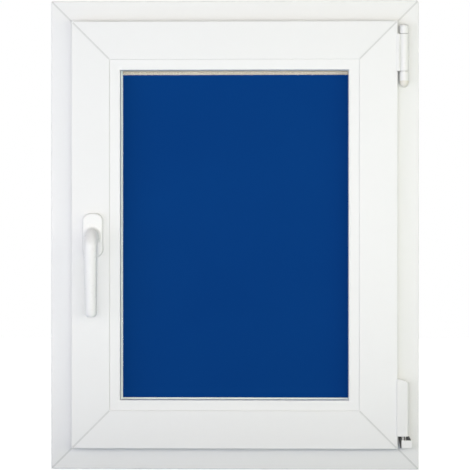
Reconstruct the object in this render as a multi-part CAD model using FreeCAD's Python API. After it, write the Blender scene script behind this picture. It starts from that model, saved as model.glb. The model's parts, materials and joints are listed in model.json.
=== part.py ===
# Tilt and turn window with one sash, hinged on the right as seen from the room
#
# Sizes are in millimetres. +X is to the right, +Z is up and +Y points outdoors,
# so the room side faces -Y. The origin is on the underside of the frame, at half
# its width and half its depth, where the frame stands on the wall opening.
# A section is drawn as (inset, depth, radius) corners: the inset is measured
# inward from the outer edge of the window, the depth along Y.

import FreeCAD, Part
import math
import os

V = FreeCAD.Vector

# Overall size
window_width = 590.0
window_height = 752.0

# Walls of the hollow profiles
outer_wall = 2.8
inner_web = 1.5
bead_wall = 1.8

# Frame section
frame_depth = 70.0
frame_body_width = 43.0
frame_lip_width = 24.0
frame_lip_thickness = 17.0
wall_groove_width = 12.0
wall_groove_depth = 4.0
wall_land_width = 20.0
room_chamber_depth = 8.0

# Sash section and how it sits in the frame
sash_depth = 70.0
sash_overlap = 8.0
sash_air_gap = 12.0
sash_face_width = 60.6
overlap_thickness = 18.0
overlap_seal_gap = 3.0
outer_seal_gap = 4.0
glazing_lip_width = 16.7
glazing_lip_thickness = 15.0
gear_groove_width = 12.0
gear_groove_depth = 4.0
gear_groove_offset = 18.0
sash_outdoor_chamber_depth = 9.4

# Glazing beads
bead_setback = 1.2
bead_face_slope = 0.5
bead_nose_radius = 1.0

# Edges, and the shallow grooves that are milled over the welded mitres
visible_radius = 1.6
small_radius = 0.8
weld_groove_width = 2.8
weld_groove_depth = 0.5

# Sealed glass unit
glass_thickness = 4.0
glass_cavity = 16.0
glass_side_play = 3.0
glass_top_play = 11.9
setting_block_height = 3.0
setting_block_length = 100.0
setting_block_edge_distance = 40.0
spacer_height = 7.0
edge_seal_depth = 5.0
outer_gasket_thickness = 4.0
bead_gasket_thickness = 3.0
gasket_width = 6.0
gasket_nose = 0.3

# Blue film on the room side of the glass, by its margins from the bead edges
film_thickness = 0.4
film_left_margin = 2.9
film_right_margin = 0.4
film_top_margin = 6.3
film_bottom_margin = 2.5

# Seals between sash and frame
overlap_seal_width = 4.5
overlap_seal_setback = 1.5
outer_seal_width = 8.0
outer_seal_setback = 0.5

# Handle
handle_height = 375.5
handle_edge_distance = 34.4
rose_width = 32.8
rose_height = 70.6
rose_thickness = 10.0
rose_corner_radius = 12.5
rose_edge_bevel = 1.8
neck_height = 21.0
neck_width = 22.6
lever_length = 129.5
lever_tip_width = 20.8
lever_thickness = 13.0
lever_projection = 50.0
lever_lean = 10.0
lever_bend_radius = 29.0
lever_inner_radius = 10.0
lever_edge_bevel = 3.4
lever_back_bevel = 1.8
lever_tip_radius = 6.0
spigot_radius = 8.0
spigot_length = 8.0
spindle_width = 7.0
spindle_reach = 28.0
spindle_hole_depth = 30.0
spindle_hole_radius = 6.5
turning_clearance = 0.3

# Hinges, all on one upright axis beside the edge of the sash
hinge_axis_gap = 10.8
hinge_axis_setback = 5.5
hinge_pin_radius = 3.0
hinge_pin_clearance = 0.1
barrel_radius = 7.4
knuckle_gap = 0.6
top_hinge_drop = 5.0
top_cap_height = 14.8
leaf_knuckle_height = 60.0
low_cap_height = 26.0
upper_cap_height = 3.0
lower_cap_height = 10.6
cap_tip_radius = 4.4
bearing_plate_width = 12.0
bearing_plate_thickness = 3.5
bearing_web_width = 7.0
leaf_web_thickness = 6.0
leaf_wing_edge = 0.4
leaf_wing_rise = 1.8
leaf_wing_reach = 2.2
leaf_wing_turn = 2.0
cover_width = 17.6
cover_lap = 1.4
cover_rise = 20.3
cover_height = 91.4
cover_corner_radius = 3.0
cover_top_drop = 6.0
cover_crown_share = 0.6
cover_fall_share = 0.36
cover_proud = 2.0
cover_depth = 16.0
bottom_pin_radius = 3.25
bottom_pin_depth = 12.0
bottom_pin_seat = 10.0
corner_bearing_width = 17.4
corner_bearing_height = 12.8
corner_bearing_rise = 1.0
corner_bearing_left = 4.4
corner_bearing_depth = 19.0
corner_bearing_radius = 4.0

# Drainage slots in the outdoor face of the sill
drain_slot_length = 28.0
drain_slot_height = 5.0
drain_slot_end_radius = 2.4
drain_slot_edge_distance = 145.0
drain_slot_rise = 14.0

# What counts as touching and how far a cut runs past a face, in millimetres,
# and what counts as a smooth join, in radians
touching = 0.01
past_face = 1.0
smooth_angle = 0.1

# Levels that follow from the sizes above
half_width = window_width / 2
frame_front = -frame_depth / 2
frame_back = frame_depth / 2
frame_lip_front = frame_back - frame_lip_thickness
frame_lip_inset = frame_body_width + frame_lip_width
sash_outer_inset = frame_body_width - sash_overlap
sash_rim_inset = frame_body_width + sash_air_gap
sash_back = frame_lip_front - outer_seal_gap
sash_front = sash_back - sash_depth
overlap_back = sash_front + overlap_thickness
bead_inset = sash_outer_inset + sash_face_width
sight_inset = bead_inset + glazing_lip_width
glazing_lip_front = sash_back - glazing_lip_thickness
outer_pane_back = glazing_lip_front - outer_gasket_thickness
outer_pane_front = outer_pane_back - glass_thickness
inner_pane_back = outer_pane_front - glass_cavity
inner_pane_front = inner_pane_back - glass_thickness
bead_back = inner_pane_front - bead_gasket_thickness
glass_side_inset = bead_inset + glass_side_play
glass_bottom = bead_inset + setting_block_height
glass_top = window_height - bead_inset - glass_top_play
handle_x = -half_width + sash_outer_inset + handle_edge_distance
rose_front = sash_front - rose_thickness
lever_front = sash_front - lever_projection
sash_right_edge = half_width - sash_outer_inset
hinge_x = sash_right_edge + hinge_axis_gap
hinge_axis_depth = sash_front + hinge_axis_setback
cover_bottom = sash_outer_inset + cover_rise

# Each side of the window: its middle, the way along it, the way inward, its length
SIDES = {
    "bottom": (V(0, 0, 0), V(1, 0, 0), V(0, 0, 1), window_width),
    "top": (V(0, 0, window_height), V(1, 0, 0), V(0, 0, -1), window_width),
    "left": (V(-half_width, 0, window_height / 2), V(0, 0, 1), V(1, 0, 0), window_height),
    "right": (V(half_width, 0, window_height / 2), V(0, 0, 1), V(-1, 0, 0), window_height),
}


def rounded_wire(corners, at):
    """Closed wire through (a, b, radius) corners, each radius as a tangent arc."""
    stretches = []
    for i, (a, b, radius) in enumerate(corners):
        corner = V(a, b, 0)
        before = V(corners[i - 1][0], corners[i - 1][1], 0) - corner
        following = corners[(i + 1) % len(corners)]
        after = V(following[0], following[1], 0) - corner
        before.normalize()
        after.normalize()
        if radius == 0:
            stretches.append((corner, None, corner))
            continue
        half_angle = before.getAngle(after) / 2
        reach = radius / math.tan(half_angle)
        towards_centre = (before + after).normalize()
        nearest = radius / math.sin(half_angle) - radius
        middle = corner + towards_centre * nearest
        stretches.append((corner + before * reach, middle, corner + after * reach))
    edges = []
    for i, (start, middle, end) in enumerate(stretches):
        if middle is not None:
            arc = Part.Arc(at(start.x, start.y), at(middle.x, middle.y), at(end.x, end.y))
            edges.append(arc.toShape())
        next_start = stretches[(i + 1) % len(stretches)][0]
        edges.append(Part.LineSegment(at(end.x, end.y), at(next_start.x, next_start.y)).toShape())
    return Part.Wire(edges)


def prism(corners, at, along):
    """Solid made by pushing a rounded outline along a vector."""
    return Part.Face(rounded_wire(corners, at)).extrude(along)


def mix(start, end, share):
    """Value at a share of the way from start to end."""
    return start + (end - start) * share


def block(low, high):
    """Box between two corners."""
    size = high - low
    return Part.makeBox(size.x, size.y, size.z, low)


def upright_cylinder(radius, x, y, low, high):
    """Cylinder along Z."""
    return Part.makeCylinder(radius, high - low, V(x, y, low))


def mitre_wedge(side, trim, near, far):
    """Room between the two mitre planes of a side, with its ends moved in by trim."""
    middle, along, inward, length = SIDES[side]
    reach = sight_inset + past_face
    half_length = length / 2 - trim
    corners = [
        (-half_length, 0, 0),
        (half_length, 0, 0),
        (half_length - reach, reach, 0),
        (-half_length + reach, reach, 0),
    ]
    start = middle + V(0, near, 0)
    return prism(corners, lambda run, inset: start + along * run + inward * inset, V(0, far - near, 0))


def chamber(near_inset, far_inset, near_depth, far_depth):
    """Outline of one hollow chamber inside a section."""
    return [
        (near_inset, near_depth, 0),
        (far_inset, near_depth, 0),
        (far_inset, far_depth, 0),
        (near_inset, far_depth, 0),
    ]


def mitred_bar(side, section, chambers):
    """One member of a rectangle: its hollow section pushed along the side and mitred at 45 degrees."""
    middle, along, inward, length = SIDES[side]
    start = middle - along * (length / 2)

    def at(inset, depth):
        return start + inward * inset + V(0, depth, 0)

    bar = prism(section, at, along * length)
    for outline in chambers:
        bar = bar.cut(prism(outline, at, along * length))
    return bar.common(mitre_wedge(side, 0, sash_front - past_face, frame_back + past_face))


def mill_weld_grooves(bar, side, near, far):
    """Shallow groove over both welded mitres of a bar, between two depths."""
    trim = weld_groove_width / 2 * math.sqrt(2)
    layer = mitre_wedge(side, -past_face, near, far)
    return bar.cut(layer.cut(mitre_wedge(side, trim, near, far)))


def ring(left, right, bottom, top, width, near, far):
    """Rectangular ring whose outer edges are given, between two depths."""
    outer = block(V(left, near, bottom), V(right, far, top))
    inner = block(V(left + width, near, bottom + width), V(right - width, far, top - width))
    return outer.cut(inner)


def inset_ring(inset, width, near, far):
    """Ring that keeps one inset from the edges of the window."""
    return ring(-half_width + inset, half_width - inset, inset, window_height - inset, width, near, far)


def frame_section():
    """Body, outdoor lip that the sash closes against, and two clip grooves on the wall side."""
    land = wall_land_width / 2
    far_wall = land + wall_groove_width
    return [
        (0, frame_front, visible_radius),
        (frame_body_width, frame_front, visible_radius),
        (frame_body_width, frame_lip_front, 0),
        (frame_lip_inset, frame_lip_front, small_radius),
        (frame_lip_inset, frame_back, visible_radius),
        (0, frame_back, visible_radius),
        (0, far_wall, 0),
        (wall_groove_depth, far_wall, 0),
        (wall_groove_depth, land, 0),
        (0, land, 0),
        (0, -land, 0),
        (wall_groove_depth, -land, 0),
        (wall_groove_depth, -far_wall, 0),
        (0, -far_wall, 0),
    ]


def frame_chambers():
    """Chambers of the room side, the steel bar, the outdoor side and the lip."""
    near = outer_wall
    behind_groove = wall_groove_depth + outer_wall
    far = frame_body_width - outer_wall
    room_start = frame_front + outer_wall
    steel_start = room_start + room_chamber_depth + inner_web
    steel_end = frame_lip_front - outer_wall
    outdoor_start = steel_end + inner_web
    outdoor_end = frame_back - outer_wall
    lip_start = frame_lip_front + outer_wall
    return [
        chamber(near, far, room_start, room_start + room_chamber_depth),
        chamber(behind_groove, far, steel_start, steel_end),
        chamber(behind_groove, far, outdoor_start, outdoor_end),
        chamber(far + inner_web, frame_lip_inset - outer_wall, lip_start, outdoor_end),
    ]


def sash_section():
    """Room-side overlap, rim with its groove for the locking gear, and the outdoor glazing lip."""
    groove_back = sash_back - gear_groove_offset
    groove_front = groove_back - gear_groove_width
    groove_floor = sash_rim_inset + gear_groove_depth
    return [
        (sash_outer_inset, sash_front, small_radius),
        (bead_inset, sash_front, small_radius),
        (bead_inset, glazing_lip_front, 0),
        (sight_inset, glazing_lip_front, small_radius),
        (sight_inset, sash_back, visible_radius),
        (sash_rim_inset, sash_back, small_radius),
        (sash_rim_inset, groove_back, 0),
        (groove_floor, groove_back, 0),
        (groove_floor, groove_front, 0),
        (sash_rim_inset, groove_front, 0),
        (sash_rim_inset, overlap_back, 0),
        (sash_outer_inset, overlap_back, small_radius),
    ]


def sash_chambers():
    """Chambers of the overlap, the room side, the steel bar, the outdoor side and the glazing lip."""
    rim = sash_rim_inset + outer_wall
    behind_groove = rim + gear_groove_depth
    far = bead_inset - outer_wall
    room_start = sash_front + outer_wall
    room_end = overlap_back - outer_wall
    outdoor_end = sash_back - outer_wall
    outdoor_start = outdoor_end - sash_outdoor_chamber_depth
    return [
        chamber(sash_outer_inset + outer_wall, rim - inner_web, room_start, room_end),
        chamber(rim, far, room_start, room_end),
        chamber(behind_groove, far, room_end + inner_web, outdoor_start - inner_web),
        chamber(rim, far, outdoor_start, outdoor_end),
        chamber(far + inner_web, sight_inset - outer_wall, outdoor_start, outdoor_end),
    ]


def bead_section():
    """Bead with a face that falls gently to a rounded nose over the glass."""
    bead_front = sash_front + bead_setback
    return [
        (bead_inset, bead_front, small_radius),
        (sight_inset, bead_front + bead_face_slope, bead_nose_radius),
        (sight_inset, bead_back, 0),
        (bead_inset, bead_back, 0),
    ]


def bead_chambers():
    """The one chamber of a bead, behind its face."""
    front = sash_front + bead_setback + bead_face_slope + bead_wall
    return [chamber(bead_inset + bead_wall, sight_inset - bead_wall, front, bead_back - bead_wall)]


def glazing_bead(side):
    return mitred_bar(side, bead_section(), bead_chambers())


def frame_member(side):
    bar = mitred_bar(side, frame_section(), frame_chambers())
    bar = mill_weld_grooves(bar, side, frame_front - past_face, frame_front + weld_groove_depth)
    return mill_weld_grooves(bar, side, frame_back - weld_groove_depth, frame_back + past_face)


def drain_slot(centre):
    """Slot with rounded ends through the outdoor wall of the sill."""
    half = drain_slot_length / 2
    high = drain_slot_rise + drain_slot_height
    outline = [
        (centre - half, drain_slot_rise, drain_slot_end_radius),
        (centre + half, drain_slot_rise, drain_slot_end_radius),
        (centre + half, high, drain_slot_end_radius),
        (centre - half, high, drain_slot_end_radius),
    ]
    start = frame_back - outer_wall - past_face
    return prism(outline, lambda x, z: V(x, start, z), V(0, outer_wall + 2 * past_face, 0))


def frame_sill():
    distance = half_width - drain_slot_edge_distance
    return frame_member("bottom").cut(drain_slot(-distance)).cut(drain_slot(distance))


def sash_member(side):
    bar = mitred_bar(side, sash_section(), sash_chambers())
    bar = mill_weld_grooves(bar, side, sash_front - past_face, sash_front + weld_groove_depth)
    return mill_weld_grooves(bar, side, sash_back - weld_groove_depth, sash_back + past_face)


def sash_left_stile():
    """The handle stile, drilled from its face for the square spindle."""
    start = V(handle_x, sash_front - past_face, handle_height)
    depth = spindle_hole_depth + past_face
    hole = Part.makeCylinder(spindle_hole_radius, depth, start, V(0, 1, 0))
    return sash_member("left").cut(hole)


def overlap_seal():
    inset = sash_outer_inset + overlap_seal_setback
    return inset_ring(inset, overlap_seal_width, overlap_back, frame_front)


def outer_seal():
    inset = frame_lip_inset + outer_seal_setback - outer_seal_width
    return inset_ring(inset, outer_seal_width, sash_back, frame_lip_front)


def bead_gasket():
    inset = sight_inset + gasket_nose - gasket_width
    return inset_ring(inset, gasket_width, bead_back, inner_pane_front)


def outer_gasket():
    inset = sight_inset + gasket_nose - gasket_width
    return inset_ring(inset, gasket_width, outer_pane_back, glazing_lip_front)


def pane(near, far):
    side = half_width - glass_side_inset
    return block(V(-side, near, glass_bottom), V(side, far, glass_top))


def edge_seal():
    side = half_width - glass_side_inset
    return ring(-side, side, glass_bottom, glass_top, edge_seal_depth, inner_pane_back, outer_pane_front)


def spacer_bar():
    side = half_width - glass_side_inset - edge_seal_depth
    low = glass_bottom + edge_seal_depth
    high = glass_top - edge_seal_depth
    return ring(-side, side, low, high, spacer_height, inner_pane_back, outer_pane_front)


def blue_film():
    left = -half_width + sight_inset + film_left_margin
    right = half_width - sight_inset - film_right_margin
    bottom = sight_inset + film_bottom_margin
    top = window_height - sight_inset - film_top_margin
    return block(V(left, inner_pane_front - film_thickness, bottom), V(right, inner_pane_front, top))


def setting_blocks():
    blocks = []
    distance = half_width - glass_side_inset - setting_block_edge_distance - setting_block_length / 2
    for centre in (-distance, distance):
        low = V(centre - setting_block_length / 2, inner_pane_front, bead_inset)
        high = V(centre + setting_block_length / 2, outer_pane_back, glass_bottom)
        blocks.append(block(low, high))
    return Part.makeCompound(blocks)


def handle_rose():
    """Screw cover plate with arched ends and a round socket for the lever."""
    half = rose_width / 2
    low = handle_height - rose_height / 2
    high = handle_height + rose_height / 2
    corners = [
        (handle_x - half, low, rose_corner_radius),
        (handle_x + half, low, rose_corner_radius),
        (handle_x + half, high, rose_corner_radius),
        (handle_x - half, high, rose_corner_radius),
    ]
    plate = prism(corners, lambda x, z: V(x, sash_front, z), V(0, -rose_thickness, 0))
    rim = [edge for edge in plate.Edges if edge.BoundBox.YMax < rose_front + touching]
    plate = plate.makeChamfer(rose_edge_bevel, rim)
    socket = Part.makeCylinder(
        spigot_radius + turning_clearance,
        rose_thickness + 2 * past_face,
        V(handle_x, rose_front - past_face, handle_height),
        V(0, 1, 0),
    )
    return plate.cut(socket)


def sharp_edges(shape):
    """Edges where two faces meet at an angle, unlike the smooth joins beside an arc."""
    found = []
    for edge in shape.Edges:
        point = edge.valueAt((edge.FirstParameter + edge.LastParameter) / 2)
        faces = shape.ancestorsOfType(edge, Part.Face)
        normals = [face.normalAt(*face.Surface.parameter(point)) for face in faces]
        if normals[0].getAngle(normals[1]) > smooth_angle:
            found.append(edge)
    return found


def handle_lever():
    """Neck, bend and tapered grip as one casting, with the spigot that turns in the rose.

    The grip leans back towards the sash, so that its tip stands out less than its bend.
    """
    neck_back = rose_front - turning_clearance
    lever_back = lever_front + lever_thickness
    tip_front = lever_front + lever_lean
    top = handle_height + neck_height / 2
    neck_low = handle_height - neck_height / 2
    tip = handle_height - lever_length
    half_neck = neck_width / 2
    half_tip = lever_tip_width / 2
    side_view = [
        (neck_back, top, 0),
        (lever_front, top, lever_bend_radius),
        (tip_front, tip, 0),
        (tip_front + lever_thickness, tip, 0),
        (lever_back, neck_low, lever_inner_radius),
        (neck_back, neck_low, 0),
    ]
    front_view = [
        (handle_x - half_neck, top, 0),
        (handle_x - half_tip, tip, lever_tip_radius),
        (handle_x + half_tip, tip, lever_tip_radius),
        (handle_x + half_neck, top, 0),
    ]
    body = prism(side_view, lambda y, z: V(handle_x - half_neck, y, z), V(neck_width, 0, 0))
    reach = V(0, neck_back - lever_front, 0)
    body = body.common(prism(front_view, lambda x, z: V(x, lever_front, z), reach))
    front_rim = [edge for edge in sharp_edges(body) if edge.BoundBox.YMin < tip_front + touching]
    body = body.makeChamfer(lever_edge_bevel, front_rim)
    back_rim = [edge for edge in sharp_edges(body) if edge.BoundBox.YMin < neck_back - touching]
    body = body.makeChamfer(lever_back_bevel, back_rim)
    spigot = Part.makeCylinder(
        spigot_radius,
        spigot_length + turning_clearance,
        V(handle_x, neck_back, handle_height),
        V(0, 1, 0),
    )
    return body.fuse(spigot)


def handle_spindle():
    half = spindle_width / 2
    start = rose_front + spigot_length
    low = V(handle_x - half, start, handle_height - half)
    high = V(handle_x + half, sash_front + spindle_reach, handle_height + half)
    return block(low, high)


def top_hinge_levels():
    """Heights of the knuckle joints of the top hinge, from the top down."""
    top = window_height - sash_outer_inset - top_hinge_drop
    upper_joint = top - top_cap_height
    lower_joint = upper_joint - leaf_knuckle_height
    bottom = lower_joint - low_cap_height
    return top, upper_joint, lower_joint, bottom


def pin_bore(low, high):
    return upright_cylinder(hinge_pin_radius + hinge_pin_clearance, hinge_x, hinge_axis_depth, low, high)


def top_hinge_bearing():
    """Plate screwed to the frame, with a knuckle above and below the one of the sash."""
    top, upper_joint, lower_joint, bottom = top_hinge_levels()
    half_plate = bearing_plate_width / 2
    half_web = bearing_web_width / 2
    plate_front = frame_front - bearing_plate_thickness
    low = bottom + lower_cap_height
    high = top - upper_cap_height
    shape = block(V(hinge_x - half_plate, plate_front, low), V(hinge_x + half_plate, frame_front, high))
    for start, end in ((upper_joint, high), (low, lower_joint - knuckle_gap)):
        knuckle = upright_cylinder(barrel_radius, hinge_x, hinge_axis_depth, start, end)
        web_low = V(hinge_x - half_web, hinge_axis_depth, start)
        web = block(web_low, V(hinge_x + half_web, plate_front, end))
        shape = shape.fuse(knuckle).fuse(web)
    return shape.removeSplitter().cut(pin_bore(bottom, top))


def top_hinge_leaf():
    """Knuckle of the stay arm, with a web and a wing that hooks round the edge of the sash."""
    top, upper_joint, lower_joint, bottom = top_hinge_levels()
    low = lower_joint
    high = upper_joint - knuckle_gap
    web_front = hinge_axis_depth - leaf_web_thickness / 2
    web_back = hinge_axis_depth + leaf_web_thickness / 2
    wing_end = sash_right_edge + leaf_wing_turn
    plan = [
        (sash_right_edge - leaf_wing_reach, sash_front - leaf_wing_edge, 0),
        (wing_end, sash_front - leaf_wing_rise, 0),
        (wing_end, web_front, 0),
        (hinge_x, web_front, 0),
        (hinge_x, web_back, 0),
        (sash_right_edge, web_back, 0),
        (sash_right_edge, sash_front, 0),
        (sash_right_edge - leaf_wing_reach, sash_front, 0),
    ]
    hook = prism(plan, lambda x, y: V(x, y, low), V(0, 0, high - low))
    knuckle = upright_cylinder(barrel_radius, hinge_x, hinge_axis_depth, low, high)
    return knuckle.fuse(hook).removeSplitter().cut(pin_bore(bottom, top))


def top_hinge_pin():
    top, upper_joint, lower_joint, bottom = top_hinge_levels()
    low = bottom + lower_cap_height
    high = top - upper_cap_height
    return upright_cylinder(hinge_pin_radius, hinge_x, hinge_axis_depth, low, high)


def hinge_cap(base, tip):
    """End cap that narrows from the barrel at its base level to its tip level."""
    height = abs(tip - base)
    away = V(0, 0, (tip - base) / height)
    return Part.makeCone(barrel_radius, cap_tip_radius, height, V(hinge_x, hinge_axis_depth, base), away)


def top_hinge_upper_cap():
    top = top_hinge_levels()[0]
    return hinge_cap(top - upper_cap_height, top)


def top_hinge_lower_cap():
    bottom = top_hinge_levels()[3]
    return hinge_cap(bottom + lower_cap_height, bottom)


def bottom_hinge_cover():
    """Cover over the sash side of the corner hinge, which laps onto the face of the sash.

    Its top falls to the right.
    """
    left = sash_right_edge - cover_lap
    right = sash_right_edge + cover_width
    high = cover_bottom + cover_height
    front = sash_front - cover_proud
    back = front + cover_depth
    plan = [
        (left, front, small_radius),
        (right, front, cover_corner_radius),
        (right, back, small_radius),
        (sash_right_edge, back, 0),
        (sash_right_edge, sash_front, 0),
        (left, sash_front, 0),
    ]
    cover = prism(plan, lambda x, y: V(x, y, cover_bottom), V(0, 0, cover_height))
    top_left = V(left, front, high)
    crown_x = mix(left, right, cover_crown_share)
    crown = V(crown_x, front, high - cover_top_drop * cover_fall_share)
    top_right = V(right, front, high - cover_top_drop)
    corner = V(right, front, high)
    fall = Part.Face(Part.Wire([
        Part.Arc(top_left, crown, top_right).toShape(),
        Part.LineSegment(top_right, corner).toShape(),
        Part.LineSegment(corner, top_left).toShape(),
    ])).extrude(V(0, cover_depth, 0))
    bore = upright_cylinder(
        bottom_pin_radius + hinge_pin_clearance,
        hinge_x,
        hinge_axis_depth,
        cover_bottom - past_face,
        cover_bottom + bottom_pin_depth,
    )
    return cover.cut(fall).cut(bore)


def corner_bearing_levels():
    """Underside and top of the corner bearing, which starts a little above the edge of the sash."""
    low = sash_outer_inset + corner_bearing_rise
    return low, low + corner_bearing_height


def bottom_hinge_pin():
    low = corner_bearing_levels()[1] - bottom_pin_seat
    high = cover_bottom + bottom_pin_depth
    return upright_cylinder(bottom_pin_radius, hinge_x, hinge_axis_depth, low, high)


def bottom_hinge_bearing():
    """Block on the frame that carries the pin of the corner hinge."""
    low, high = corner_bearing_levels()
    left = hinge_x - corner_bearing_left
    right = left + corner_bearing_width
    outline = [
        (left, low, small_radius),
        (right, low, corner_bearing_radius),
        (right, high, corner_bearing_radius),
        (left, high, small_radius),
    ]
    shape = prism(outline, lambda x, z: V(x, frame_front, z), V(0, -corner_bearing_depth, 0))
    bore = upright_cylinder(
        bottom_pin_radius + hinge_pin_clearance,
        hinge_x,
        hinge_axis_depth,
        high - bottom_pin_seat,
        high + past_face,
    )
    return shape.cut(bore)


def window_nodes():
    """Every piece of the window by its name."""
    return {
        "frame_head": frame_member("top"),
        "frame_sill": frame_sill(),
        "frame_left_jamb": frame_member("left"),
        "frame_right_jamb": frame_member("right"),
        "overlap_seal": overlap_seal(),
        "outer_seal": outer_seal(),
        "sash_top_rail": sash_member("top"),
        "sash_bottom_rail": sash_member("bottom"),
        "sash_left_stile": sash_left_stile(),
        "sash_right_stile": sash_member("right"),
        "bead_top": glazing_bead("top"),
        "bead_bottom": glazing_bead("bottom"),
        "bead_left": glazing_bead("left"),
        "bead_right": glazing_bead("right"),
        "bead_gasket": bead_gasket(),
        "outer_gasket": outer_gasket(),
        "inner_pane": pane(inner_pane_front, inner_pane_back),
        "outer_pane": pane(outer_pane_front, outer_pane_back),
        "spacer_bar": spacer_bar(),
        "pane_edge_seal": edge_seal(),
        "setting_blocks": setting_blocks(),
        "blue_film": blue_film(),
        "handle_rose": handle_rose(),
        "handle_lever": handle_lever(),
        "handle_spindle": handle_spindle(),
        "top_hinge_bearing": top_hinge_bearing(),
        "top_hinge_leaf": top_hinge_leaf(),
        "top_hinge_pin": top_hinge_pin(),
        "top_hinge_upper_cap": top_hinge_upper_cap(),
        "top_hinge_lower_cap": top_hinge_lower_cap(),
        "bottom_hinge_cover": bottom_hinge_cover(),
        "bottom_hinge_pin": bottom_hinge_pin(),
        "bottom_hinge_bearing": bottom_hinge_bearing(),
    }


os.makedirs("parts", exist_ok=True)
for name, shape in window_nodes().items():
    shape.exportStep("parts/" + name + ".step")
    print(name, shape.isValid(), len(shape.Solids), round(shape.Volume))
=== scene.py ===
# Looks, light and camera for the tilt and turn window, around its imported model
#
# Lengths are in metres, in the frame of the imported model: +X to the right, +Y
# outdoors and +Z up, with the origin on the underside of the frame.
# A section of a ring is drawn as (inset, depth) points: the inset is measured
# inward from the outer edge of the window, the depth along Y.

import bmesh
import bpy
import json
import math
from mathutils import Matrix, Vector


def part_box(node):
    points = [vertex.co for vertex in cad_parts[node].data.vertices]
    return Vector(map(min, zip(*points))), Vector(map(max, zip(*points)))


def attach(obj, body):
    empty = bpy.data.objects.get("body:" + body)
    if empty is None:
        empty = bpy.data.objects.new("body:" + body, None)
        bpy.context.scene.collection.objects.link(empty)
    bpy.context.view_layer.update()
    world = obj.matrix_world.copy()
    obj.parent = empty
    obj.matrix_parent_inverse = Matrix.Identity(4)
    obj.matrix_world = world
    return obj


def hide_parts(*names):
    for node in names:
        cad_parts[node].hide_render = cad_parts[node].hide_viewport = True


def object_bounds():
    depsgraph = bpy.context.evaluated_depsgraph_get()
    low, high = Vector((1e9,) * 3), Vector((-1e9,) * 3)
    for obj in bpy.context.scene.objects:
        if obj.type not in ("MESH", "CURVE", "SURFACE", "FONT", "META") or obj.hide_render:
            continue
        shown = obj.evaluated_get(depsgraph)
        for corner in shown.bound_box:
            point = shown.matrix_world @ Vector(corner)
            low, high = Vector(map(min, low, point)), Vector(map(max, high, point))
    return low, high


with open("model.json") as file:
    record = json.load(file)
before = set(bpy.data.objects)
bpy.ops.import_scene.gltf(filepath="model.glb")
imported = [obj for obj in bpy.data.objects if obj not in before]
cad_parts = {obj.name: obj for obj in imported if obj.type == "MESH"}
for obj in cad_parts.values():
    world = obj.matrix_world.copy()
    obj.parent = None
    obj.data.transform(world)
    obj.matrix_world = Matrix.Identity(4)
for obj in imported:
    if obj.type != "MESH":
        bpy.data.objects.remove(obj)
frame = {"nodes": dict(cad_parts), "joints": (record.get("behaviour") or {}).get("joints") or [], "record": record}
cad_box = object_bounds()
window_high = cad_box[1]
frame_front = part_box("frame_head")[0].y
half_width = window_high.x
window_height = window_high.z

# Camera, a little to the right of the window and turned to its middle
camera_distance = 3.2
camera_place = 0.07
camera_target = 0.00065
camera_height = window_height / 2
camera_lens = 152.73
camera_sensor = 36.0

# Light of the world, from the room's side and from outdoors, and the white that is seen
room_ambient = 0.27
outdoor_ambient = 0.85
outdoor_rise = (0.0, 0.5)
ambient_colour = (1.02, 1.0, 1.0)
seen_colour = (1.0, 1.0, 1.0)
seen_strength = 1.0

# Lamps of the half ring: angle from the front in degrees, power in watts, and colour
lamp_reach = 2.4
lamp_height = 0.33
lamp_size = 1.2
lamps = {
    "lamp_far_left": (-60, 11.6, (1.03, 1.0, 1.04)),
    "lamp_left": (-30, 8.8, (1.03, 1.0, 1.04)),
    "lamp_front": (0, 17.9, (1.02, 1.0, 0.98)),
    "lamp_right": (30, 12.9, (1.02, 1.0, 0.87)),
    "lamp_far_right": (60, 8.9, (1.02, 1.0, 0.66)),
}

# Floor: its seen colour and glow, and the colours that its bounced light takes near and far
floor_size = 8.0
floor_drop = 0.0003
floor_colour = (0.6, 0.61, 0.62)
floor_roughness = 0.9
floor_bounce_colour = (0.58, 0.68, 0.8)
floor_near_colour = (0.06, 0.15, 0.28)
floor_near_start = 0.1
floor_near_end = 0.26
floor_glow = 0.75

# Lever of the handle; the middle of its section is a share of the thickness from the back
lever_bend_radius = 0.029
lever_inner_radius = 0.010
lever_thickness = 0.013
lever_lean = 0.007
lever_shift = -0.0006
neck_height = 0.021
lever_tip_width = 0.0192
lever_corner_radius = 0.006
lever_nose_radius = 0.002
neck_roundness = 2.1
grip_roundness = 2.0
neck_fillet = 0.004
section_middle = 0.26
roundness_blend = 3
turning_gap = 0.0003
spigot_radius = 0.008
ring_points = 48
fillet_steps = 9
neck_steps = 4
bend_steps = 17
grip_steps = 18
tip_steps = 9

# Rose of the handle
rose_corner_radius = 0.0125
rose_edge_radius = 0.003
rose_edge_steps = 9
rose_corner_steps = 16

# Hinges
edge_softness = 0.0005
edge_segments = 3
edge_angle = 40
flat_angle = 0.5
merge_distance = 0.000002
barrel_sides = 64
dome_angle = 84
dome_steps = 14
collar_height = 0.0058
collar_proud = 0.00015
sleeve_radius = 0.0041
sleeve_wall = 0.0007
sleeve_slot = 0.0030
sleeve_steps = 40
# Black bush beside the corner hinge pin and black wedge in the slit beside its bearing: their black paints the
# shade of that recess
bush_front = 0.0015
bush_depth = 0.0075
bush_width_top = 0.0044
bush_width_bottom = 0.0076
wedge_front = 0.005
wedge_depth = 0.015
wedge_width_top = 0.0046
wedge_width_bottom = 0.0014

# Weld seams
frame_edge_radius = 0.0016
sash_face_width = 0.0606
weld_groove_depth = 0.0005
weld_bead_width = 0.0026
weld_bead_rise = 0.0002
weld_hidden_end = 0.002
weld_short_end = 0.0005

# Seals and gaskets
gasket_width = 0.006
overlap_seal_width = 0.0045
outer_seal_width = 0.008
seal_round = 0.0008
seal_round_steps = 5
lip_rise = 0.0012
lip_gap = 0.0003
contact_gap = 0.00002

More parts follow.
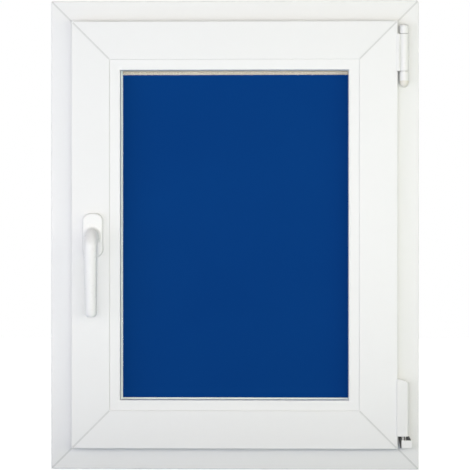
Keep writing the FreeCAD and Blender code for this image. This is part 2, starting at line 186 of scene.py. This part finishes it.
# Noise of the finishes: its stretch along a piece, and the part of its range that shows
no_stretch = (1, 1, 1)
upright_stretch = (1, 1, 0.04)
level_stretch = (0.04, 1, 1)
spacer_stretch = (0.2, 1, 1)
wander_start = 0.3
wander_end = 0.7

# Shading of made meshes, in degrees
sharp_angle = 35

# Faces of a box over its eight points, which run by end, side and level
box_faces = ((0, 1, 3, 2), (4, 6, 7, 5), (0, 4, 5, 1), (2, 3, 7, 6), (0, 2, 6, 4), (1, 5, 7, 3))


# Building meshes

def mix(start, end, share):
    return start + (end - start) * share


def shares(count):
    """Evenly spaced shares from 0 to 1, both included."""
    return [step / (count - 1) for step in range(count)]


def mesh_piece(name, points, faces, coat, body):
    """Object from points and faces, smooth except at edges over the sharp angle."""
    mesh = bpy.data.meshes.new(name)
    mesh.from_pydata([tuple(point) for point in points], [], faces)
    shaped = bmesh.new()
    shaped.from_mesh(mesh)
    bmesh.ops.recalc_face_normals(shaped, faces=shaped.faces)
    shaped.to_mesh(mesh)
    shaped.free()
    mesh.polygons.foreach_set("use_smooth", [True] * len(mesh.polygons))
    mesh.set_sharp_from_angle(angle=math.radians(sharp_angle))
    mesh.materials.append(coat)
    piece = bpy.data.objects.new(name, mesh)
    bpy.context.scene.collection.objects.link(piece)
    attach(piece, body)
    return piece


def loft(loops, wrap=False):
    """Points and faces of a skin over equally long loops, capped at the ends or wrapped round."""
    count = len(loops[0])
    points = [point for loop in loops for point in loop]
    faces = []
    last = len(loops) if wrap else len(loops) - 1
    for row in range(last):
        here = row * count
        there = (row + 1) % len(loops) * count
        for step in range(count):
            after = (step + 1) % count
            faces.append((here + step, here + after, there + after, there + step))
    if not wrap:
        faces.append(tuple(range(count)))
        faces.append(tuple(range(len(points) - count, len(points))))
    return points, faces


def lathe(profile, centre):
    """Skin of (radius, z) points turned about an upright axis through centre."""
    loops = []
    for radius, level in profile:
        loop = []
        for step in range(barrel_sides):
            angle = step / barrel_sides * math.tau
            x = centre.x + radius * math.cos(angle)
            y = centre.y + radius * math.sin(angle)
            loop.append(Vector((x, y, level)))
        loops.append(loop)
    return loft(loops)


def rectangle_sweep(section):
    """Skin of a closed section of (inset, depth) points pushed round the window, mitred at the corners."""
    loops = []
    for inset, depth in section:
        left = -half_width + inset
        top = window_height - inset
        corners = [(left, inset), (-left, inset), (-left, top), (left, top)]
        loops.append([Vector((x, depth, z)) for x, z in corners])
    return loft(loops, wrap=True)


def rounded_section(near_inset, far_inset, near_depth, far_depth, radius):
    """Closed (inset, depth) section of a rectangle with round corners."""
    corners = [
        (near_inset + radius, near_depth + radius, 180),
        (far_inset - radius, near_depth + radius, 270),
        (far_inset - radius, far_depth - radius, 0),
        (near_inset + radius, far_depth - radius, 90),
    ]
    section = []
    for inset, depth, start in corners:
        for share in shares(seal_round_steps):
            angle = math.radians(start + 90 * share)
            section.append((inset + radius * math.cos(angle), depth + radius * math.sin(angle)))
    return section


# Materials

def new_material(name, settings):
    """Material with one shader, whose even values are set on the shader itself."""
    made = bpy.data.materials.new(name)
    made.use_nodes = True
    shader = made.node_tree.nodes["Principled BSDF"]
    for socket, value in settings.items():
        shader.inputs[socket].default_value = value
    return made


def noise(made, scale, stretch=no_stretch, detail=3.0):
    """Noise over the object's own metres."""
    nodes = made.node_tree.nodes
    links = made.node_tree.links
    place = nodes.new("ShaderNodeTexCoord")
    mapping = nodes.new("ShaderNodeMapping")
    mapping.inputs["Scale"].default_value = stretch
    texture = nodes.new("ShaderNodeTexNoise")
    texture.inputs["Scale"].default_value = scale
    texture.inputs["Detail"].default_value = detail
    links.new(place.outputs["Object"], mapping.inputs["Vector"])
    links.new(mapping.outputs["Vector"], texture.inputs["Vector"])
    return texture.outputs["Fac"]


def between(made, factor, low, high):
    """A number that wanders between two values with the noise."""
    levels = made.node_tree.nodes.new("ShaderNodeMapRange")
    levels.inputs["From Min"].default_value = wander_start
    levels.inputs["From Max"].default_value = wander_end
    levels.inputs["To Min"].default_value = low
    levels.inputs["To Max"].default_value = high
    made.node_tree.links.new(factor, levels.inputs["Value"])
    return levels.outputs["Result"]


def between_tones(made, factor, first, second):
    """A colour that wanders between two close tones with the noise."""
    ramp = made.node_tree.nodes.new("ShaderNodeValToRGB")
    first_stop, second_stop = ramp.color_ramp.elements
    first_stop.position = wander_start
    first_stop.color = (*first, 1)
    second_stop.position = wander_end
    second_stop.color = (*second, 1)
    made.node_tree.links.new(factor, ramp.inputs["Fac"])
    return ramp.outputs["Color"]


def relief_by(made, factor, height, strength):
    """Fine unevenness of the surface from the noise."""
    bump = made.node_tree.nodes.new("ShaderNodeBump")
    bump.inputs["Strength"].default_value = strength
    bump.inputs["Distance"].default_value = height
    made.node_tree.links.new(factor, bump.inputs["Height"])
    return bump.outputs["Normal"]


def surface(
    name, even, tones, tone_scale, roughness, roughness_scale, relief, relief_scale,
    tone_stretch=no_stretch, grain_stretch=no_stretch, tone_detail=3.0, relief_detail=3.0,
    relief_strength=0.6,
):
    """Material with even values and a tone, roughness and relief that vary a little."""
    made = new_material(name, even)
    shader = made.node_tree.nodes["Principled BSDF"]
    links = made.node_tree.links
    tone_noise = noise(made, tone_scale, tone_stretch, tone_detail)
    links.new(between_tones(made, tone_noise, *tones), shader.inputs["Base Color"])
    roughness_noise = noise(made, roughness_scale, grain_stretch)
    links.new(between(made, roughness_noise, *roughness), shader.inputs["Roughness"])
    relief_noise = noise(made, relief_scale, grain_stretch, relief_detail)
    links.new(relief_by(made, relief_noise, relief, relief_strength), shader.inputs["Normal"])
    return made


def extruded(name, stretch):
    """Extruded white plastic: satin, with faint draw lines along the member."""
    return surface(
        name, {"IOR": 1.5},
        tones=((0.855, 0.857, 0.85), (0.872, 0.873, 0.867)), tone_scale=6.0,
        roughness=(0.36, 0.44), roughness_scale=160.0,
        relief=0.00001, relief_scale=420.0,
        tone_stretch=stretch, grain_stretch=stretch, tone_detail=4.0, relief_detail=2.0,
    )


def glass_finish():
    """Clear float glass with a faint green tint and hardly any unevenness."""
    made = new_material("float_glass", {
        "Base Color": (0.955, 0.985, 0.97, 1),
        "Transmission Weight": 1.0,
        "IOR": 1.45,
        "Roughness": 0.0,
    })
    nodes = made.node_tree.nodes
    links = made.node_tree.links
    wave = relief_by(made, noise(made, 3.0), height=0.00001, strength=0.1)
    links.new(wave, nodes["Principled BSDF"].inputs["Normal"])
    path = nodes.new("ShaderNodeLightPath")
    clear = nodes.new("ShaderNodeBsdfTransparent")
    clear.inputs["Color"].default_value = (0.93, 0.96, 0.94, 1)
    lighting = nodes.new("ShaderNodeMath")
    lighting.operation = "MAXIMUM"
    links.new(path.outputs["Is Shadow Ray"], lighting.inputs[0])
    links.new(path.outputs["Is Diffuse Ray"], lighting.inputs[1])
    choice = nodes.new("ShaderNodeMixShader")
    links.new(lighting.outputs["Value"], choice.inputs["Fac"])
    links.new(nodes["Principled BSDF"].outputs["BSDF"], choice.inputs[1])
    links.new(clear.outputs["BSDF"], choice.inputs[2])
    links.new(choice.outputs["Shader"], nodes["Material Output"].inputs["Surface"])
    return made


finish = {
    "upright": extruded("extruded_white_upright", upright_stretch),
    "level": extruded("extruded_white_level", level_stretch),
    # Powder coat on the handle and the hinges, with its fine orange peel
    "white_enamel": surface(
        "powder_coat_white", {"IOR": 1.5},
        tones=((0.87, 0.872, 0.86), (0.885, 0.885, 0.875)), tone_scale=40.0,
        roughness=(0.26, 0.36), roughness_scale=300.0,
        relief=0.00003, relief_scale=900.0,
    ),
    # Moulded white plastic with a spark-eroded grain
    "white_cap": surface(
        "moulded_white", {"IOR": 1.48},
        tones=((0.845, 0.845, 0.835), (0.86, 0.86, 0.85)), tone_scale=60.0,
        roughness=(0.42, 0.55), roughness_scale=700.0,
        relief=0.00003, relief_scale=2200.0,
    ),
    # Beige tone of the lower hinge cap, darker than the white cap: painted shade of its downward-facing end
    "beige_cap_painted_shade": surface(
        "moulded_beige_painted_shade", {"IOR": 1.48},
        tones=((0.78, 0.75, 0.68), (0.81, 0.78, 0.71)), tone_scale=60.0,
        roughness=(0.42, 0.55), roughness_scale=700.0,
        relief=0.00003, relief_scale=2200.0,
    ),
    # White plastic where the weld was milled flat: duller, and darker to paint the shade of the weld groove
    "milled_white_groove_shade": surface(
        "milled_white_groove_shade", {"IOR": 1.48},
        tones=((0.7, 0.705, 0.695), (0.735, 0.74, 0.73)), tone_scale=120.0,
        roughness=(0.55, 0.7), roughness_scale=600.0,
        relief=0.00004, relief_scale=1800.0,
    ),
    # Black plastic of the bushes in the corner hinge; the black also paints the shade in the recess behind the pin
    # and in the slit beside the bearing
    "black_bush_and_recess_shade": surface(
        "moulded_black_and_recess_shade", {"IOR": 1.5},
        tones=((0.006, 0.006, 0.007), (0.011, 0.011, 0.012)), tone_scale=150.0,
        roughness=(0.5, 0.65), roughness_scale=600.0,
        relief=0.00003, relief_scale=1500.0,
    ),
    # Soft grey gasket
    "grey_seal": surface(
        "gasket_grey", {"IOR": 1.48},
        tones=((0.8, 0.86, 0.81), (0.84, 0.89, 0.85)), tone_scale=90.0,
        roughness=(0.55, 0.7), roughness_scale=500.0,
        relief=0.00003, relief_scale=1500.0,
    ),
    # Sealant round the edge of the panes
    "dark_sealant": surface(
        "sealant_dark", {"IOR": 1.45},
        tones=((0.02, 0.02, 0.02), (0.035, 0.035, 0.035)), tone_scale=70.0,
        roughness=(0.5, 0.7), roughness_scale=300.0,
        relief=0.0001, relief_scale=900.0,
    ),
    # Warm grey spacer bar with fine lines along it, its tone partly lifted as painted light against the shade it
    # gets under the bead
    "spacer_metal": surface(
        "spacer_tan_and_painted_light", {"IOR": 1.5},
        tones=((0.76, 0.58, 0.45), (0.82, 0.64, 0.5)), tone_scale=120.0,
        roughness=(0.25, 0.35), roughness_scale=400.0,
        relief=0.00003, relief_scale=1200.0,
        tone_stretch=spacer_stretch,
    ),
    # Even blue film, matte, with a very slight wave from being laid on by hand
    "blue_film": surface(
        "film_blue", {"IOR": 1.4, "Specular IOR Level": 0.04},
        tones=((0.0004, 0.042, 0.208), (0.0008, 0.046, 0.218)), tone_scale=5.0,
        roughness=(0.55, 0.65), roughness_scale=250.0,
        relief=0.0002, relief_scale=14.0, relief_strength=0.3,
    ),
    # Zinc-plated steel
    "zinc_steel": surface(
        "zinc_plate", {"Metallic": 1.0},
        tones=((0.5, 0.5, 0.48), (0.58, 0.58, 0.56)), tone_scale=180.0,
        roughness=(0.28, 0.42), roughness_scale=500.0,
        relief=0.00002, relief_scale=1200.0,
    ),
    # Burnished steel of the corner hinge pin, nearly black to paint the shade in the open front of its split
    # sleeve
    "dark_steel_slot_shade": surface(
        "burnished_steel_slot_shade", {"Metallic": 1.0},
        tones=((0.07, 0.07, 0.07), (0.1, 0.1, 0.1)), tone_scale=180.0,
        roughness=(0.4, 0.55), roughness_scale=500.0,
        relief=0.00002, relief_scale=1200.0,
    ),
    "clear_glass": glass_finish(),
}


def dress_nodes():
    """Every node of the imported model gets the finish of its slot, profiles by their direction."""
    for part in frame["record"]["subparts"]:
        node = part["node"]
        slot = part["material_slot"]
        if slot == "white_profile":
            upright = node.split("_")[-1] in ("jamb", "stile", "left", "right")
            slot = "upright" if upright else "level"
        # The corner hinge pin is made nearly black, as painted shade in its sleeve's slot
        if node == "bottom_hinge_pin":
            slot = "dark_steel_slot_shade"
        mesh = frame["nodes"][node].data
        mesh.materials.clear()
        mesh.materials.append(finish[slot])


# Handle

def lever_stations():
    """Front point, back point as (y, z), half width and roundness, from the rose to the tip."""
    low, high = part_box("handle_lever")
    neck_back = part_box("handle_rose")[0].y - turning_gap
    front = low.y
    back = front + lever_thickness
    top = high.z
    neck_low = top - neck_height
    half_neck = (high.x - low.x) / 2
    half_tip = lever_tip_width / 2
    outer = (front + lever_bend_radius, top - lever_bend_radius)
    inner = (back + lever_inner_radius, neck_low - lever_inner_radius)
    lines = []
    for share in shares(fillet_steps)[:-1]:
        angle = share * math.pi / 2
        flare = neck_fillet * (1 - math.sin(angle))
        depth = neck_back - neck_fillet * (1 - math.cos(angle))
        lines.append(((depth, top + flare), (depth, neck_low - flare), flare))
    neck_start = neck_back - neck_fillet
    for share in shares(neck_steps)[:-1]:
        outside = (mix(neck_start, outer[0], share), top)
        inside = (mix(neck_start, inner[0], share), neck_low)
        lines.append((outside, inside, 0))
    for share in shares(bend_steps):
        sine = math.sin(share * math.pi / 2)
        cosine = math.cos(share * math.pi / 2)
        outside = (outer[0] - lever_bend_radius * sine, outer[1] + lever_bend_radius * cosine)
        inside = (inner[0] - lever_inner_radius * sine, inner[1] + lever_inner_radius * cosine)
        lines.append((outside, inside, 0))
    grip_end = low.z + lever_corner_radius
    for share in shares(grip_steps)[1:]:
        outside = (front, mix(outer[1], grip_end, share))
        inside = (back, mix(inner[1], grip_end, share))
        lines.append((outside, inside, 0))
    stations = []
    for outside, inside, flare in lines:
        down = max(0, top - outside[1]) / (top - low.z)
        half = mix(half_neck, half_tip, down) + flare
        roundness = mix(neck_roundness, grip_roundness, min(1, down * roundness_blend))
        stations.append((outside, inside, half, roundness))
    for share in shares(tip_steps)[1:]:
        angle = share * math.pi / 2
        level = grip_end - lever_corner_radius * math.sin(angle)
        half = half_tip - lever_corner_radius * (1 - math.cos(angle))
        nose = lever_nose_radius * (1 - math.cos(angle))
        stations.append(((front + nose, level), (back - nose, level), half, grip_roundness))
    leaning = []
    for outside, inside, half, roundness in stations:
        shift = lever_lean * max(0, outer[1] - outside[1]) / (outer[1] - low.z)
        outside = (outside[0] + shift, outside[1])
        inside = (inside[0] + shift, inside[1])
        leaning.append((outside, inside, half, roundness))
    return leaning


def lever_loop(centre_x, outside, inside, half, roundness):
    """Rounded section of the lever between its front and back points."""
    loop = []
    power = 2 / roundness
    for step in range(ring_points):
        angle = step / ring_points * math.tau
        across = math.copysign(abs(math.cos(angle)) ** power, math.cos(angle))
        rise = math.copysign(abs(math.sin(angle)) ** power, math.sin(angle))
        reach = 1 - section_middle if rise > 0 else section_middle
        through = section_middle + rise * reach
        y = mix(inside[0], outside[0], through)
        z = mix(inside[1], outside[1], through)
        loop.append(Vector((centre_x + half * across, y, z)))
    return loop


def lever_casting():
    """Lever with its neck, bend and slightly tapered grip."""
    low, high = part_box("handle_lever")
    centre_x = (low.x + high.x) / 2
    loops = []
    for outside, inside, half, roundness in lever_stations():
        shift = lever_shift * min(1, max(0, high.z - outside[1]) / lever_bend_radius)
        loops.append(lever_loop(centre_x + shift, outside, inside, half, roundness))
    points, faces = loft(loops)
    piece = mesh_piece("lever_casting", points, faces, finish["white_enamel"], "handle")
    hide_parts("handle_lever")


def rounded_rectangle(low, high, inset, depth):
    """Loop of the rose's rectangle with round corners, in the plane at one depth."""
    radius = rose_corner_radius - inset
    loop = []
    centres = [
        (high.x - inset - radius, high.z - inset - radius, 0),
        (low.x + inset + radius, high.z - inset - radius, 90),
        (low.x + inset + radius, low.z + inset + radius, 180),
        (high.x - inset - radius, low.z + inset + radius, 270),
    ]
    for x, z, start in centres:
        for share in shares(rose_corner_steps):
            angle = math.radians(start + 90 * share)
            loop.append(Vector((x + radius * math.cos(angle), depth, z + radius * math.sin(angle))))
    return loop


def rose_cover():
    """Cover of the rose, with a rounded rim and the round socket of the lever."""
    low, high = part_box("handle_rose")
    loops = [rounded_rectangle(low, high, 0, high.y)]
    for share in shares(rose_edge_steps):
        angle = share * math.pi / 2
        inset = rose_edge_radius * (1 - math.cos(angle))
        depth = low.y + rose_edge_radius * (1 - math.sin(angle))
        loops.append(rounded_rectangle(low, high, inset, depth))
    joint = Vector(frame["joints"][0]["pos_m"])
    for depth in (low.y, high.y):
        hole = []
        for point in loops[-1]:
            away = Vector((point.x - joint.x, 0, point.z - joint.z)).normalized()
            hole.append(Vector((joint.x, depth, joint.z)) + away * (spigot_radius + turning_gap))
        loops.append(hole)
    points, faces = loft(loops, wrap=True)
    piece = mesh_piece("rose_cover", points, faces, finish["white_enamel"], "window")
    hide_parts("handle_rose")


# Hinges

def hinge_cap(node, name, base, tip, material):
    """Domed cap on the end of the hinge barrel."""
    low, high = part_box(node)
    centre = (low + high) / 2
    radius = (high.x - low.x) / 2
    last = math.radians(dome_angle)
    profile = []
    for share in shares(dome_steps):
        angle = share * last
        level = mix(base, tip, math.sin(angle) / math.sin(last))
        profile.append((radius * math.cos(angle), level))
    points, faces = lathe(profile, centre)
    piece = mesh_piece(name, points, faces, finish[material], "window")
    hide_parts(node)


def softened(node, name, slot):
    """The shape of a node with its edges rounded over a little."""
    shaped = bmesh.new()
    shaped.from_mesh(frame["nodes"][node].data)
    bmesh.ops.remove_doubles(shaped, verts=shaped.verts, dist=merge_distance)
    flat = math.radians(flat_angle)
    bmesh.ops.dissolve_limit(shaped, angle_limit=flat, verts=shaped.verts, edges=shaped.edges)
    points = [vertex.co.copy() for vertex in shaped.verts]
    faces = [[vertex.index for vertex in face.verts] for face in shaped.faces]
    shaped.free()
    piece = mesh_piece(name, points, faces, finish[slot], "window")
    bevel = piece.modifiers.new("rounded_edges", "BEVEL")
    bevel.width = edge_softness
    bevel.segments = edge_segments
    bevel.limit_method = "ANGLE"
    bevel.angle_limit = math.radians(edge_angle)
    bevel.harden_normals = True
    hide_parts(node)


def hinges():
    """Domed caps, and bearings, leaf and cover with soft edges."""
    low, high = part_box("top_hinge_upper_cap")
    hinge_cap("top_hinge_upper_cap", "hinge_dome_upper", low.z, high.z, "white_cap")
    low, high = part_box("top_hinge_lower_cap")
    # The lower cap takes the beige finish, whose darker tone is painted shade
    hinge_cap("top_hinge_lower_cap", "hinge_dome_lower", high.z, low.z, "beige_cap_painted_shade")
    softened("top_hinge_bearing", "hinge_bearing_top", "white_enamel")
    softened("top_hinge_leaf", "hinge_leaf_top", "white_enamel")
    softened("bottom_hinge_cover", "hinge_cover_corner", "white_cap")
    softened("bottom_hinge_bearing", "hinge_bearing_corner", "white_enamel")


def prism_along_y(name, outline, near, far, material):
    """Upright outline of (x, z) points pushed from one depth to another."""
    loops = [[Vector((x, depth, z)) for x, z in outline] for depth in (near, far)]
    points, faces = loft(loops)
    return mesh_piece(name, points, faces, finish[material], "window")


def leaf_collar():
    """Fine raised band round the lower end of the middle knuckle."""
    low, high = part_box("top_hinge_leaf")
    joint_low, joint_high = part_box("top_hinge_pin")
    centre = (joint_low + joint_high) / 2
    radius = high.x - centre.x
    outer = radius + collar_proud
    edge = collar_proud
    profile = [
        (radius - edge, low.z + edge),
        (outer, low.z + 2 * edge),
        (outer, low.z + collar_height - edge),
        (radius - edge, low.z + collar_height),
    ]
    points, faces = lathe(profile, centre)
    mesh_piece("leaf_collar", points, faces, finish["white_enamel"], "window")


def pin_sleeve():
    """Split sleeve on the pin between the cover and the corner bearing, open at the front."""
    low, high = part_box("bottom_hinge_pin")
    centre = (low + high) / 2
    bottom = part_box("bottom_hinge_bearing")[1].z
    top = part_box("bottom_hinge_cover")[0].z
    half_slot = math.asin(sleeve_slot / 2 / sleeve_radius)
    start = -math.pi / 2 + half_slot
    loops = []
    for share in shares(sleeve_steps):
        angle = start + share * (math.tau - 2 * half_slot)
        way = Vector((math.cos(angle), math.sin(angle), 0))
        loop = []
        for radius, level in (
            (sleeve_radius - sleeve_wall, bottom),
            (sleeve_radius, bottom),
            (sleeve_radius, top),
            (sleeve_radius - sleeve_wall, top),
        ):
            loop.append(Vector((centre.x, centre.y, level)) + way * radius)
        loops.append(loop)
    points, faces = loft(loops)
    mesh_piece("pin_sleeve", points, faces, finish["zinc_steel"], "window")


def corner_bushes_and_shade():
    """Black plastic bush beside the pin, its black also painting the shade of the recess behind it, and a black
    wedge in the slit beside the corner bearing that is painted shade.
    """
    bearing_low, bearing_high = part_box("bottom_hinge_bearing")
    bottom = bearing_high.z
    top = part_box("bottom_hinge_cover")[0].z
    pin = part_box("bottom_hinge_pin")[1].x
    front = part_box("sash_right_stile")[0].y
    block = [
        (pin, bottom),
        (pin + bush_width_bottom, bottom),
        (pin + bush_width_top, top),
        (pin, top),
    ]
    near = front + bush_front
    prism_along_y("corner_bush_and_shade_right", block, near, front + bush_depth, "black_bush_and_recess_shade")
    # The wedge is painted shade: black put in the slit where there is only shade
    side = bearing_low.x
    wedge = [
        (side - wedge_width_bottom, bearing_low.z),
        (side, bearing_low.z),
        (side, top),
        (side - wedge_width_top, top),
    ]
    near = front + wedge_front
    prism_along_y("corner_shade_wedge_left", wedge, near, front + wedge_depth, "black_bush_and_recess_shade")


# Seals and gaskets

def seal_ring(node, name, width):
    """Rounded seal in place of a square one, with the same outer edge and depth."""
    low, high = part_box(node)
    inset = low.x + half_width
    section = rounded_section(inset, inset + width, low.y, high.y, seal_round)
    points, faces = rectangle_sweep(section)
    piece = mesh_piece(name, points, faces, finish["grey_seal"], "window")
    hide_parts(node)


def seals():
    """Rounded seals and gaskets in place of the four rings."""
    seal_ring("bead_gasket", "glazing_gasket_inside", gasket_width)
    seal_ring("outer_gasket", "glazing_gasket_outside", gasket_width)
    seal_ring("overlap_seal", "sash_seal_inside", overlap_seal_width)
    seal_ring("outer_seal", "sash_seal_outside", outer_seal_width)


def gasket_lips():
    """Flat lips of the glazing gasket on the glass, beside the film on the left and under it."""
    low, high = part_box("bead_gasket")
    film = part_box("blue_film")[0]
    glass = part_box("inner_pane")[0].y
    left = low.x + gasket_width
    right = high.x - gasket_width
    bottom = low.z + gasket_width
    top = high.z - gasket_width
    root = seal_round
    beside = [
        (left - root, bottom - root),
        (film.x - lip_gap, bottom - root),
        (film.x - lip_gap, top),
        (left - root, top),
    ]
    under = [
        (film.x - lip_gap, bottom - root),
        (right, bottom - root),
        (right, film.z - lip_gap),
        (film.x - lip_gap, film.z - lip_gap),
    ]
    near = glass - lip_rise
    far = glass - contact_gap
    prism_along_y("gasket_lip_left", beside, near, far, "grey_seal")
    prism_along_y("gasket_lip_bottom", under, near, far, "grey_seal")


# Seams

def corner_strip(points, faces, corner, start, end, depth):
    """Adds a flat strip over a mitre, from one inset to another, to a list of points and faces."""
    side_x, side_z = corner
    origin = Vector((side_x * half_width, 0, window_height if side_z > 0 else 0))
    inward = Vector((-side_x, 0, -side_z))
    across = Vector((-side_x, 0, side_z)).normalized() * (weld_bead_width / 2)
    first = len(points)
    for inset in (start, end):
        for turn in (-1, 1):
            for level in (depth, depth + weld_bead_rise):
                points.append(origin + inward * inset + across * turn + Vector((0, level, 0)))
    for loop in box_faces:
        faces.append(tuple(first + step for step in loop))


def weld_seams(name, start, end, face_depth):
    """Milled weld beads in the grooves over the four mitres of a frame, darker as painted shade of the grooves."""
    points = []
    faces = []
    depth = face_depth + weld_groove_depth - weld_bead_rise
    for corner in ((-1, -1), (1, -1), (-1, 1), (1, 1)):
        corner_strip(points, faces, corner, start, end, depth)
    mesh_piece(name, points, faces, finish["milled_white_groove_shade"], "window")


def seams():
    """Weld beads on the room side of the frame and of the sash."""
    sash_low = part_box("sash_left_stile")[0]
    outer = sash_low.x + half_width
    sash_end = outer + sash_face_width - weld_short_end
    weld_seams("weld_frame_inside", frame_edge_radius, outer + weld_hidden_end, frame_front)
    weld_seams("weld_sash_inside", outer + frame_edge_radius, sash_end, sash_low.y)


# Light, floor, world and camera

def seen_ray(nodes, links):
    """1 for rays from the camera, off gloss and through glass, and 0 for light that lands on things."""
    path = nodes.new("ShaderNodeLightPath")
    total = path.outputs["Is Camera Ray"]
    for name in ("Is Glossy Ray", "Is Transmission Ray"):
        both = nodes.new("ShaderNodeMath")
        both.operation = "MAXIMUM"
        links.new(total, both.inputs[0])
        links.new(path.outputs[name], both.inputs[1])
        total = both.outputs["Value"]
    return total


def make_world():
    """White where it is seen, and a soft light that is stronger from outdoors."""
    world = bpy.data.worlds.new("pale_room")
    bpy.context.scene.world = world
    world.use_nodes = True
    nodes = world.node_tree.nodes
    links = world.node_tree.links
    lighting = nodes["Background"]
    lighting.inputs["Color"].default_value = (*ambient_colour, 1)
    direction = nodes.new("ShaderNodeTexCoord")
    axes = nodes.new("ShaderNodeSeparateXYZ")
    links.new(direction.outputs["Generated"], axes.inputs["Vector"])
    level = nodes.new("ShaderNodeMapRange")
    level.inputs["From Min"].default_value = outdoor_rise[0]
    level.inputs["From Max"].default_value = outdoor_rise[1]
    level.inputs["To Min"].default_value = room_ambient
    level.inputs["To Max"].default_value = outdoor_ambient
    links.new(axes.outputs["Y"], level.inputs["Value"])
    links.new(level.outputs["Result"], lighting.inputs["Strength"])
    shown = nodes.new("ShaderNodeBackground")
    shown.inputs["Color"].default_value = (*seen_colour, 1)
    shown.inputs["Strength"].default_value = seen_strength
    choice = nodes.new("ShaderNodeMixShader")
    links.new(seen_ray(nodes, links), choice.inputs["Fac"])
    links.new(lighting.outputs["Background"], choice.inputs[1])
    links.new(shown.outputs["Background"], choice.inputs[2])
    links.new(choice.outputs["Shader"], nodes["World Output"].inputs["Surface"])


def make_floor():
    """Pale floor that looks white and still shows the shadow of the window."""
    half = floor_size / 2
    mesh = bpy.data.meshes.new("floor")
    signs = ((-1, -1), (1, -1), (1, 1), (-1, 1))
    corners = [(half * x, half * y, -floor_drop) for x, y in signs]
    mesh.from_pydata(corners, [], [(0, 1, 2, 3)])
    floor = bpy.data.objects.new("floor", mesh)
    bpy.context.scene.collection.objects.link(floor)
    made = new_material("floor_pale", {
        "Base Color": (*floor_colour, 1),
        "Emission Color": (*seen_colour, 1),
        "Emission Strength": floor_glow,
        "Roughness": floor_roughness,
        "Specular IOR Level": 0.0,
    })
    nodes = made.node_tree.nodes
    links = made.node_tree.links
    place = nodes.new("ShaderNodeTexCoord")
    axes = nodes.new("ShaderNodeSeparateXYZ")
    links.new(place.outputs["Object"], axes.inputs["Vector"])
    away = nodes.new("ShaderNodeMath")
    away.operation = "ABSOLUTE"
    links.new(axes.outputs["Y"], away.inputs[0])
    reach = nodes.new("ShaderNodeMapRange")
    reach.inputs["From Min"].default_value = floor_near_start
    reach.inputs["From Max"].default_value = floor_near_end
    links.new(away.outputs["Value"], reach.inputs["Value"])
    tone = nodes.new("ShaderNodeMix")
    tone.data_type = "RGBA"
    tone.inputs["A"].default_value = (*floor_near_colour, 1)
    tone.inputs["B"].default_value = (*floor_bounce_colour, 1)
    links.new(reach.outputs["Result"], tone.inputs["Factor"])
    bounce = nodes.new("ShaderNodeBsdfDiffuse")
    links.new(tone.outputs["Result"], bounce.inputs["Color"])
    choice = nodes.new("ShaderNodeMixShader")
    links.new(seen_ray(nodes, links), choice.inputs["Fac"])
    links.new(bounce.outputs["BSDF"], choice.inputs[1])
    links.new(nodes["Principled BSDF"].outputs["BSDF"], choice.inputs[2])
    links.new(choice.outputs["Shader"], nodes["Material Output"].inputs["Surface"])
    mesh.materials.append(made)


def make_lamps():
    """Half ring of soft square lamps on the room side, turned to the middle of the window."""
    target = Vector((0, frame_front, window_height / 2))
    for name, (turn, power, colour) in lamps.items():
        lamp = bpy.data.lights.new(name, "AREA")
        lamp.shape = "SQUARE"
        lamp.size = lamp_size
        lamp.energy = power
        lamp.color = colour
        holder = bpy.data.objects.new(name, lamp)
        bpy.context.scene.collection.objects.link(holder)
        angle = math.radians(turn)
        away = Vector((math.sin(angle), -math.cos(angle), 0)) * lamp_reach
        holder.location = (target.x + away.x, target.y + away.y, lamp_height)
        holder.rotation_euler = (target - holder.location).to_track_quat("-Z", "Y").to_euler()


def make_camera():
    """Nearly straight on at the middle of the window, as in the photograph."""
    camera = bpy.data.cameras.new("camera")
    camera.lens = camera_lens
    camera.sensor_width = camera_sensor
    holder = bpy.data.objects.new("camera", camera)
    bpy.context.scene.collection.objects.link(holder)
    holder.location = (camera_place, frame_front - camera_distance, camera_height)
    target = Vector((camera_target, frame_front, camera_height))
    holder.rotation_euler = (target - holder.location).to_track_quat("-Z", "Y").to_euler()
    bpy.context.scene.camera = holder


make_camera()
dress_nodes()
lever_casting()
rose_cover()
hinges()
leaf_collar()
pin_sleeve()
corner_bushes_and_shade()
seals()
gasket_lips()
seams()
make_world()
make_floor()
make_lamps()
bpy.context.scene.view_settings.view_transform = "Standard"
